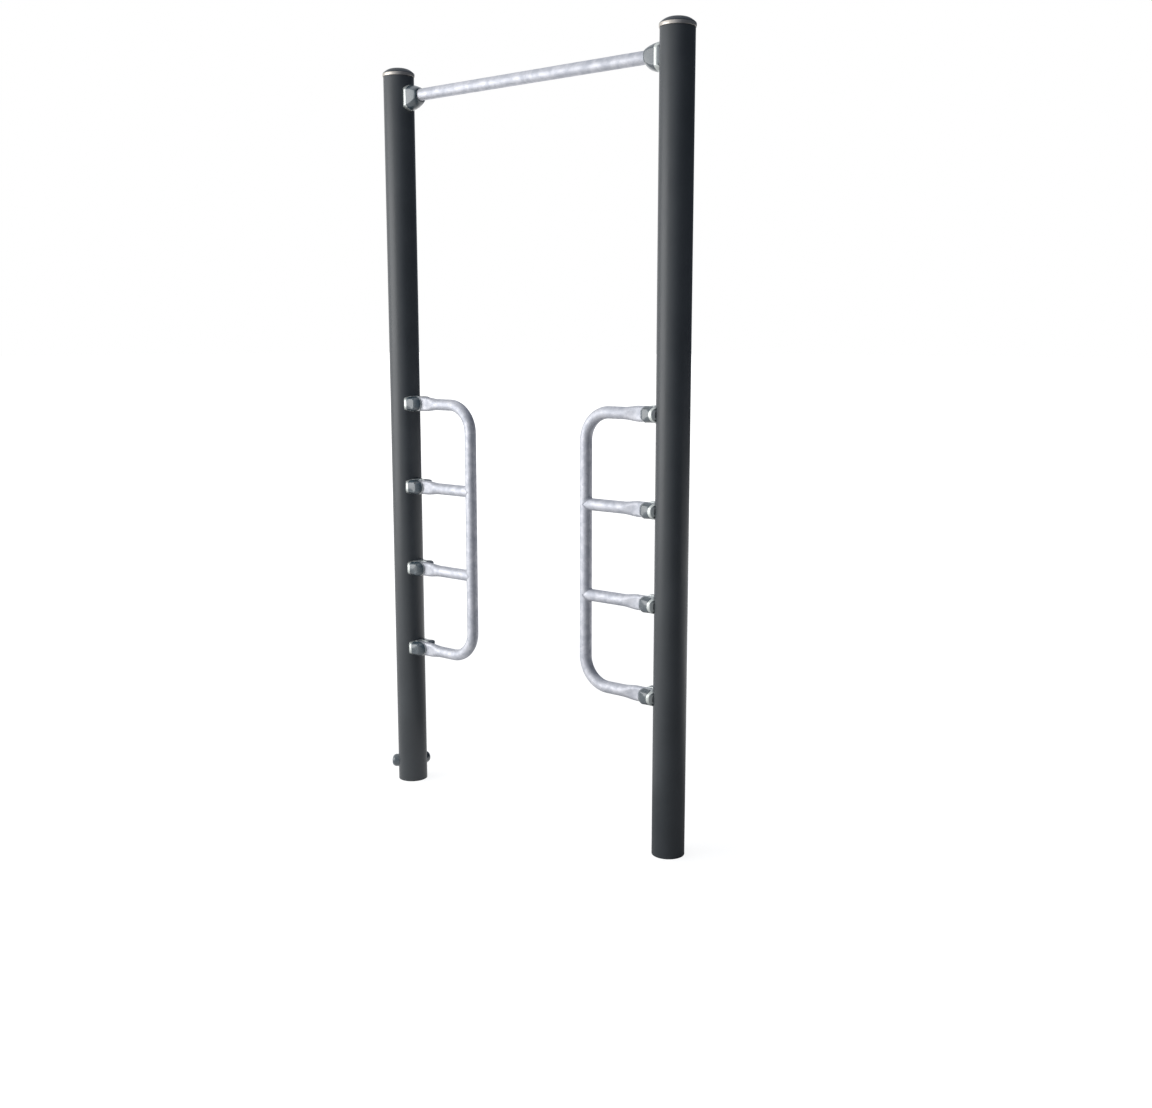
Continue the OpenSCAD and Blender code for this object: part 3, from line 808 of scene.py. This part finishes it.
for name, side in SIDES.items():
    for i, z in enumerate(RUNG_Z, start=1):
        solids = [hugging_block(saddle_outline, SADDLE_W, SADDLE_H, SADDLE_FRONT, SADDLE_WING, z,
                                seam_bow)]
        solids += [cheek_rings(low_y, z) for low_y in (-FRONT_SEAT, REAR_SEAT - CHEEK_T)]
        parts = []
        for rings in solids:
            points, faces = skin(rings)
            parts.append(loose(mirrored(points, side), faces))
        make(f"{name}_cast_saddle_{i}", *fused(parts), cast_alloy, "cast_bracket",
             [f"{name}_saddle_{i}"])
print("made eight saddles")

# %% [markdown]
# The covers are thin mouldings. Seen from the front a cover has a flat face
# with rounded corners, which leans back a little and then turns round into a
# nose. Above and below, a softer facet joins the face to the cheek. All of it is
# rows of points, from the seam on the saddle to the tip of the nose, and each
# row holds a flat middle and two quarter curves. A power below 2 makes such a
# curve a facet with soft ends, and one above 2 makes it fuller. Solidify gives
# the wall, and a small bevel breaks its rim.

# %% Sections of the bracket covers
COVER_WALL = 3 * MM
COVER_INSET = 0.4 * MM
FACE_FALL = 5.4 * MM
FACE_HALF_H = 15.5 * MM
FACE_CORNER = 4 * MM
FACE_PAST_BOLT = 5.5 * MM
NOSE_POWER = 1.3
FACE_COLUMNS = 8
SIDE_COLUMNS = 14
COVER_R = CHEEK_R - COVER_INSET
BASE_HALF_W = SADDLE_W - COVER_INSET
BASE_HALF_H = SADDLE_H - COVER_INSET
FACE_END = BOLT_X + FACE_PAST_BOLT
CORNER_START = FACE_END - FACE_CORNER


def quarter_curve(turn, power):
    """Along and out of a curve from (1, 0) to (0, 1), at a turn of 0 to 90 degrees."""
    return max(math.cos(turn), 0.0) ** (2 / power), math.sin(turn) ** (2 / power)


def cover_row(x, face_half, seat_half, seat, deep, power):
    """One row across a cover: lower curve, flat face, upper curve."""
    lower = []
    for turn in turns(0, math.pi / 2, SIDE_COLUMNS):
        along, out = quarter_curve(turn, power)
        lower.append((x, seat + (deep - seat) * out, -face_half - (seat_half - face_half) * along))
    face = [(x, deep, face_half * (2 * i / FACE_COLUMNS - 1)) for i in range(FACE_COLUMNS + 1)]
    return lower + face + [(x, y, -z) for x, y, z in reversed(lower)]


def on_outline(wide, half_w, half_h):
    """The other coordinate of a point of the saddle's soft rectangle."""
    return half_h * max(1 - abs(wide / half_w) ** OUTLINE_POWER, 0.0) ** (1 / OUTLINE_POWER)


def base_row(seat, power):
    """The row on the seam: the saddle's outline, cut off at the seat."""
    corner_y = on_outline(FACE_HALF_H, BASE_HALF_H, BASE_HALF_W)
    face_half = FACE_HALF_H + MERGE
    row = []
    for _, y, z in cover_row(0.0, FACE_HALF_H, BASE_HALF_H, seat, corner_y, power):
        if abs(z) <= face_half:
            y = on_outline(z, BASE_HALF_H, BASE_HALF_W)
        else:
            z = math.copysign(on_outline(y, BASE_HALF_W, BASE_HALF_H), z)
        row.append((SADDLE_FRONT - seam_bow(y, z), y, z))
    return row


print("cover face", round(2 * FACE_HALF_H / MM, 1), "mm high")

# %% [markdown]
# The rows in order: straight from the seam to where the face's corners start,
# then the rounded corners, then the nose.

# %% Rows of the bracket covers
BASE_ROWS = 10
CORNER_ROWS = 5
NOSE_ROWS = 20


def cover_rows(seat, facing, centre_z, power):
    """Rows of points from the seam to the nose; facing is -1 in front, 1 behind."""
    def face_y(x):
        return BASE_HALF_W - FACE_FALL * (x - SADDLE_FRONT) / (FACE_END - SADDLE_FRONT)

    start = base_row(seat, power)
    end = cover_row(CORNER_START, FACE_HALF_H, COVER_R, seat, face_y(CORNER_START), power)
    rows = []
    for share in turns(0, 1, BASE_ROWS):
        rows.append([tuple(a + (b - a) * share for a, b in zip(first, last))
                     for first, last in zip(start, end)])
    for turn in turns(0, math.pi / 2, CORNER_ROWS):
        x = CORNER_START + FACE_CORNER * math.sin(turn)
        half = FACE_HALF_H - FACE_CORNER * (1 - math.cos(turn))
        rows.append(cover_row(x, half, COVER_R, seat, face_y(x), power))
    for i in range(NOSE_ROWS + 1):
        out, along = quarter_curve(math.pi / 2 * i / NOSE_ROWS, NOSE_POWER)
        x = FACE_END + (BOLT_X + COVER_R - FACE_END) * along
        rounded = math.sqrt(max(COVER_R ** 2 - max(x - BOLT_X, 0.0) ** 2, 0.0))
        half = (FACE_HALF_H - FACE_CORNER) * math.sqrt(max(1 - along ** 2, 0.0))
        deep = seat + (face_y(FACE_END) - seat) * out
        rows.append(cover_row(x, half, rounded, seat, deep, power))
    return [[(x, facing * y, centre_z + z) for x, y, z in row] for row in rows]


def grid_faces(rows):
    """Four-sided faces between rows of equal length."""
    wide = len(rows[0])
    return [(a * wide + b, a * wide + b + 1, (a + 1) * wide + b + 1, (a + 1) * wide + b)
            for a in range(len(rows) - 1) for b in range(wide - 1)]


print("a cover has", BASE_ROWS + CORNER_ROWS + NOSE_ROWS + 1, "rows")

# %% [markdown]
# The front half's sides are facets. The rear half sits closer to the middle of
# the tube, so it is deeper, and its sides are fuller.

# %% Bracket covers
FRONT_POWER = 1.55
REAR_POWER = 2.4
RIM_BEVEL = 0.4 * MM
RIM_SEGMENTS = 2
RIM_ANGLE = math.radians(60)
INNER_SIDE = -1
HALVES = (("front", FRONT_SEAT, -1, FRONT_POWER), ("rear", REAR_SEAT, 1, REAR_POWER))


def shell(piece):
    """Gives an open skin a wall on its inner side, and breaks the rim."""
    solid = piece.modifiers.new("wall", "SOLIDIFY")
    solid.thickness = COVER_WALL
    solid.offset = INNER_SIDE
    solid.use_even_offset = False
    rim = piece.modifiers.new("rim", "BEVEL")
    rim.width = RIM_BEVEL
    rim.segments = RIM_SEGMENTS
    rim.limit_method = "ANGLE"
    rim.angle_limit = RIM_ANGLE
    rim.use_clamp_overlap = False


def outward_normals(piece, centre):
    """Turns an open skin's faces away from a point inside it."""
    mesh = piece.data
    pull = sum((p.center - Vector(centre)).dot(p.normal) * p.area for p in mesh.polygons)
    if pull < 0:
        mesh.flip_normals()


for name, side in SIDES.items():
    for i, z in enumerate(RUNG_Z, start=1):
        for label, seat, facing, power in HALVES:
            rows = cover_rows(seat, facing, z, power)
            points = mirrored([point for row in rows for point in row], side)
            cover = make(f"{name}_{label}_moulded_cover_{i}", points, grid_faces(rows), polyamide,
                         "moulded_cover", [f"{name}_{label}_cover_{i}"])
            inside = (middle(SADDLE_FRONT, BOLT_X), facing * seat, z)
            outward_normals(cover, placed(inside, side))
            shell(cover)
print("made sixteen bracket covers")

# %% [markdown]
# A bar holder has a cast base plate, an oval with straight sides, and a cover
# that runs from that oval to a round mouth about the bar. The cover's sides stay
# wide for longer than its top and bottom, so a crease runs along each corner of
# the oval, and a full shoulder comes down to the bar.

# %% Forms of the bar holders
plate_low, plate_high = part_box("left_bar_flange")
holder_low, holder_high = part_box("left_bar_cover")
PLATE_W = plate_high.y
PLATE_H = (plate_high.z - plate_low.z) / 2
PLATE_Z = middle_z("left_bar_flange")
PLATE_ROUND_W = 36 * MM
PLATE_FRONT = holder_low.x + POST_X
PLATE_WING = 29.0
HOLDER_END = holder_high.x + POST_X
HOLDER_ROWS = 24
ARC_POINTS = 32
SIDE_POINTS = 16
SIDE_POWER = 3.0
TOP_POWER = 1.6
BOTTOM_POWER = 1.3
BLEND_HALF = 20 * MM
MOUTH_R = BAR_R + 0.6 * MM
MOUTH_CORNER = math.radians(27)


def holder_outline(half_w, half_h):
    """An oval whose sides are cut straight, as (y, z) points."""
    round_w = PLATE_ROUND_W - (PLATE_W - half_w)
    start = math.acos(half_w / round_w)
    corner_z = half_h * math.sin(start)
    half_loop = [(round_w * math.cos(t), half_h * math.sin(t))
                 for t in turns(start, math.pi - start, ARC_POINTS)]
    half_loop += [(-half_w, z) for z in turns(corner_z, -corner_z, SIDE_POINTS)]
    return half_loop + [(-y, -z) for y, z in half_loop]


def mouth_outline():
    """A circle just round the bar, with as many points as the oval."""
    angles = turns(MOUTH_CORNER, math.pi - MOUTH_CORNER, ARC_POINTS)
    angles += turns(math.pi - MOUTH_CORNER, math.pi + MOUTH_CORNER, SIDE_POINTS)
    half_loop = [(MOUTH_R * math.cos(t), MOUTH_R * math.sin(t)) for t in angles]
    return half_loop + [(-y, -z) for y, z in half_loop]


def fall(share, power):
    """From 0 at the base to 1 at the mouth: slow at first, then steep."""
    return 1 - max(1 - share ** power, 0.0) ** (1 / power)


def holder_rings():
    """Rings that turn from the plate's oval to the mouth, higher ones with a fuller top."""
    base = holder_outline(PLATE_W - COVER_INSET, PLATE_H - COVER_INSET)
    mouth = mouth_outline()
    lift = PLATE_Z - BAR_Z
    rings = []
    for row in range(HOLDER_ROWS + 1):
        share = math.sin(math.pi / 2 * row / HOLDER_ROWS)
        x = PLATE_FRONT + (HOLDER_END - PLATE_FRONT) * share
        ring = []
        for (y, z), (mouth_y, mouth_z) in zip(base, mouth):
            upper = smooth((z + BLEND_HALF) / (2 * BLEND_HALF))
            power = BOTTOM_POWER + (TOP_POWER - BOTTOM_POWER) * upper
            ring.append((x, y + (mouth_y - y) * fall(share, SIDE_POWER),
                         BAR_Z + z + lift + (mouth_z - z - lift) * fall(share, power)))
        rings.append(ring)
    return rings


print("a holder is", round((HOLDER_END - PLATE_FRONT) / MM, 1), "mm deep")

# %% [markdown]
# The base plate is cast with a spigot that slides into the bar. The cover gets
# its wall in the same way as the bracket covers do.

# %% Bar holders
SPIGOT_BORE_R = 4 * MM
SPIGOT_R = BAR_R - BAR_WALL - SLIDE_GAP
SPIGOT_FROM = PLATE_FRONT - 6 * MM
SPIGOT_TO = PLATE_FRONT + 60 * MM

for name, side in SIDES.items():
    rings = hugging_block(holder_outline, PLATE_W, PLATE_H, PLATE_FRONT, PLATE_WING, PLATE_Z)
    points, faces = skin(rings)
    parts = [loose(mirrored(points, side), faces)]
    profile = washer_profile(SPIGOT_BORE_R, SPIGOT_R, SPIGOT_FROM, SPIGOT_TO, SAW_EDGE)
    points, faces = lathe(profile, BAR_STEPS, bar_spot)
    parts.append(loose(mirrored(points, side), faces))
    make(f"{name}_cast_holder_base", *fused(parts), cast_alloy, "cast_bracket",
         [f"{name}_bar_flange"])
    points, faces = skin(holder_rings(), close_ends=False)
    cover = make(f"{name}_moulded_holder_cover", mirrored(points, side), faces, polyamide,
                 "moulded_cover", [f"{name}_bar_cover"])
    outward_normals(cover, placed((middle(PLATE_FRONT, HOLDER_END), 0.0, BAR_Z), side))
    shell(cover)
print("made two bar holders")

# %% [markdown]
# Domed covers hide the foot bolts, two on the left post and one on the far side
# of the right one. Each is turned about its bolt's axis, and the rim is cut to
# the post's round: every rim point moves along the bolt's axis until it touches
# the post.

# %% Foot covers
FOOT_R = 22.5 * MM
FOOT_OUT = 22 * MM
FOOT_SKIRT = 9 * MM
FOOT_FLAT = 12 * MM
FOOT_WALL = 3 * MM
FOOT_CHAMFER = 0.4 * MM
FOOT_Z = middle_z("left_foot_covers")
FOOT_ANGLES = {"left": (211.0, 90.0), "right": (125.0,)}
FOOT_ARC_STEPS = 12
FOOT_SIDES = 72


def dome_arc(inward):
    """The dome's round side, as (radius, height) points, moved inward by a distance."""
    arc = []
    for i in range(FOOT_ARC_STEPS + 1):
        angle = math.pi / 2 * i / FOOT_ARC_STEPS
        arc.append((FOOT_FLAT + (FOOT_R - inward - FOOT_FLAT) * math.cos(angle),
                    FOOT_SKIRT + (FOOT_OUT - inward - FOOT_SKIRT) * math.sin(angle)))
    return arc


def foot_dome(side, degrees):
    """A cover whose bolt points that many degrees round from +X; no height means the rim."""
    turn = math.radians(degrees)
    out = Vector((math.cos(turn), math.sin(turn), 0.0))
    across = Vector((-math.sin(turn), math.cos(turn), 0.0))
    profile = [(FOOT_R - FOOT_WALL, None), (FOOT_R - FOOT_CHAMFER, None), (FOOT_R, FOOT_SKIRT / 2)]
    profile += dome_arc(0.0)
    profile += [(0.0, FOOT_OUT), (0.0, FOOT_OUT - FOOT_WALL)]
    profile += reversed(dome_arc(FOOT_WALL))
    rings = []
    for angle in turns(0, math.tau, FOOT_SIDES):
        ring = []
        for radius, height in profile:
            sideways = radius * math.cos(angle)
            on_post = math.sqrt(POST_R ** 2 - sideways ** 2)
            reach = on_post if height is None else max(POST_R + height, on_post)
            point = out * reach + across * sideways
            ring.append((side * POST_X + point.x, point.y, FOOT_Z + radius * math.sin(angle)))
        rings.append(ring)
    return skin(rings + rings[:1], close_ends=False)


for name, side in SIDES.items():
    for i, degrees in enumerate(FOOT_ANGLES[name], start=1):
        points, faces = foot_dome(side, degrees)
        make(f"{name}_moulded_foot_cover_{i}", points, faces, polyamide, "moulded_cover",
             [f"{name}_foot_covers"])
print("made three foot covers")

# %% [markdown]
# What hides inside keeps the engineering mesh and only gets its finish: zinc
# plate on the fasteners, machined steel on the foot sleeves.

# %% Hidden pieces
dressed = 0
for node_name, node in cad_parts.items():
    if node.hide_render:
        continue
    node.data.materials.clear()
    node.data.materials.append(machined if "foot_sleeve" in node_name else zinc_plate)
    dressed += 1
print("dressed", dressed, "hidden nodes")

# %% [markdown]
# The studio is bright at the left and dim at the right. One function gives that
# light for any direction seen from the station, and both the floor's reflection
# and the panels round the station use it. It compares the direction with the
# bright side by their dot product, which runs from -1, away from it, to 1.

# %% Light by direction
BRIGHT_SIDE = Vector((-0.86, -0.50, 0.15)).normalized()
DIM = 0.13
BRIGHT = 0.95
DIM_UNTIL = -0.55
BRIGHT_FROM = 0.75


def direction_of(tree):
    """The direction from the station to the place that is shaded."""
    spot = add(tree, "TexCoord").outputs["Object"]
    return add(tree, "VectorMath", {"operation": "NORMALIZE"}, _0=spot).outputs["Vector"]


def side_light(tree, way):
    """The studio's light from a direction, by how far it points to the bright side."""
    share = add(tree, "VectorMath", {"operation": "DOT_PRODUCT"}, _0=way, _1=BRIGHT_SIDE)
    return spread(tree, share.outputs["Value"], DIM_UNTIL, BRIGHT_FROM, DIM, BRIGHT, "SMOOTHSTEP")


def bare_tree(data):
    """The empty node tree of a new material or world."""
    data.use_nodes = True
    data.node_tree.nodes.clear()
    return data.node_tree


print("light from", DIM, "to", BRIGHT)

# %% [markdown]
# The floor is one large flat face, just below the posts' feet.

# %% Floor
FLOOR_SIZE = 200.0
FLOOR_DROP = 0.5 * MM

floor_mesh = bpy.data.meshes.new("floor")
half = FLOOR_SIZE / 2
floor_corners = [(-half, -half, 0), (half, -half, 0), (half, half, 0), (-half, half, 0)]
floor_mesh.from_pydata(floor_corners, [], [(0, 1, 2, 3)])
floor = add_object("floor", floor_mesh)
floor.location.z = -FLOOR_DROP
print("floor", FLOOR_SIZE, "m wide")

# %% [markdown]
# The floor keeps a faint shadow. It looks white to the camera, behind the
# station to reflections too, and through glass, by the Light Path node, so its
# look costs the station no extra light. Further round, its reflection follows
# the light of the studio. Near the posts the white is a little lower, so that
# their shadow still shows.

# %% White floor
WHITE = linear("#ffffff")
FLOOR_GREY = linear("#9a9a9a")
FLOOR_GLOW = (0.87, 0.98)
SHADOW_REACH = (1.0, 3.0)
FLOOR_SHARE = 0.7
SWEEP = (0.3, 1.8)

floor_paint = bpy.data.materials.new("matt_white_floor")
tree = bare_tree(floor_paint)
rays = add(tree, "LightPath").outputs
place = add(tree, "TexCoord").outputs["Object"]
behind = add(tree, "SeparateXYZ", Vector=place).outputs["Y"]
around = reckon(tree, "MULTIPLY", side_light(tree, direction_of(tree)), FLOOR_SHARE)
in_mirror = reckon(tree, "MAXIMUM", around, spread(tree, behind, *SWEEP, 0.0, 1.0))
mirrored_share = reckon(tree, "MULTIPLY", rays["Is Glossy Ray"], in_mirror)
seen = rays["Is Camera Ray"]
for share in (mirrored_share, rays["Is Transmission Ray"]):
    seen = reckon(tree, "MAXIMUM", seen, share)
matt = add(tree, "BsdfDiffuse", Color=FLOOR_GREY)
away = add(tree, "VectorMath", {"operation": "LENGTH"}, _0=place).outputs["Value"]
strength = reckon(tree, "MULTIPLY", seen, spread(tree, away, *SHADOW_REACH, *FLOOR_GLOW))
glow = add(tree, "Emission", Color=WHITE, Strength=strength)
both = add(tree, "AddShader", _0=matt.outputs[0], _1=glow.outputs[0])
add(tree, "OutputMaterial", Surface=both.outputs[0])
floor_mesh.materials.append(floor_paint)
print("made", floor_paint.name)

# %% [markdown]
# One large soft lamp stands in front, at the left, and aims at the middle of the
# station. It gives the long highlights and the floor's shadow.

# %% Lamp
LAMP_PLACE = (-2.9, -3.4, 1.85)
LAMP_AIM = (0.0, 0.0, 1.25)
LAMP_SIZE = (4.0, 3.4)
LAMP_POWER = 88.0

lamp_data = bpy.data.lights.new("soft_lamp", "AREA")
lamp_data.shape = "RECTANGLE"
lamp_data.size, lamp_data.size_y = LAMP_SIZE
lamp_data.energy = LAMP_POWER
lamp = add_object("soft_lamp", lamp_data)
lamp.location = LAMP_PLACE
aim = Vector(LAMP_AIM) - Vector(LAMP_PLACE)
lamp.rotation_euler = aim.to_track_quat("-Z", "Y").to_euler()
print("lamp at", LAMP_PLACE)

# %% [markdown]
# A large dome of panels stands round the station, as in a photo studio, and
# shapes the round tubes. The camera doesn't see it, and behind the station it is
# open, so that the edges of the tubes catch the white backdrop.

# %% Panel dome
DOME_R = 8.0
DOME_STEP = 6
OPEN_FROM = 120
OPEN_TO = 162
OPEN_TOP = 12


def dome_point(up, around):
    """A point of the dome, by its height and direction in degrees."""
    out = DOME_R * math.cos(math.radians(up))
    turn = math.radians(around)
    return (out * math.cos(turn), out * math.sin(turn), DOME_R * math.sin(math.radians(up)))


dome_rows = [[dome_point(up, around) for around in range(0, 360 + DOME_STEP, DOME_STEP)]
             for up in range(0, 90, DOME_STEP)]
per_row = len(dome_rows[0])
dome_faces = [face for face in grid_faces(dome_rows)
              if not (OPEN_FROM <= DOME_STEP * (face[0] % per_row) < OPEN_TO
                      and DOME_STEP * (face[0] // per_row) < OPEN_TOP)]
dome_mesh = bpy.data.meshes.new("panel_dome")
dome_mesh.from_pydata([point for row in dome_rows for point in row], [], dome_faces)
panel_dome = add_object("panel_dome", dome_mesh)
panel_dome.visible_camera = False
print("a dome of", len(dome_faces), "panels")

# %% [markdown]
# The panels follow the light by direction, a little less towards the roof, with
# one more light straight above. Where they are dim, they are bluish.

# %% Panel light
PANEL_DIM_TINT = "#ccd8ee"
PANEL_BRIGHT_TINT = "#ffffff"
ROOF_LOSS = 0.1
ZENITH = 0.15
ZENITH_SPAN = (0.78, 0.95)

panels = bpy.data.materials.new("panel_light")
tree = bare_tree(panels)
way = direction_of(tree)
height = add(tree, "SeparateXYZ", Vector=way).outputs["Z"]
roof = spread(tree, height, 0.0, 1.0, 1.0, 1.0 - ROOF_LOSS)
level = reckon(tree, "ADD", reckon(tree, "MULTIPLY", side_light(tree, way), roof),
               spread(tree, height, *ZENITH_SPAN, 0.0, ZENITH))
colour = tint(tree, spread(tree, level, DIM, BRIGHT, 0.0, 1.0), PANEL_DIM_TINT, PANEL_BRIGHT_TINT)
shine = add(tree, "Emission", Color=colour, Strength=level)
add(tree, "OutputMaterial", Surface=shine.outputs[0])
dome_mesh.materials.append(panels)
print("made", panels.name)

# %% [markdown]
# The backdrop is plain white in every direction.

# %% Backdrop
world = bpy.data.worlds.new("white_backdrop")
bpy.context.scene.world = world
tree = bare_tree(world)
backdrop = add(tree, "Background", Color=WHITE, Strength=1.0)
add(tree, "OutputWorld", Surface=backdrop.outputs[0])
bpy.context.scene.view_settings.view_transform = "Standard"
print("backdrop ready")
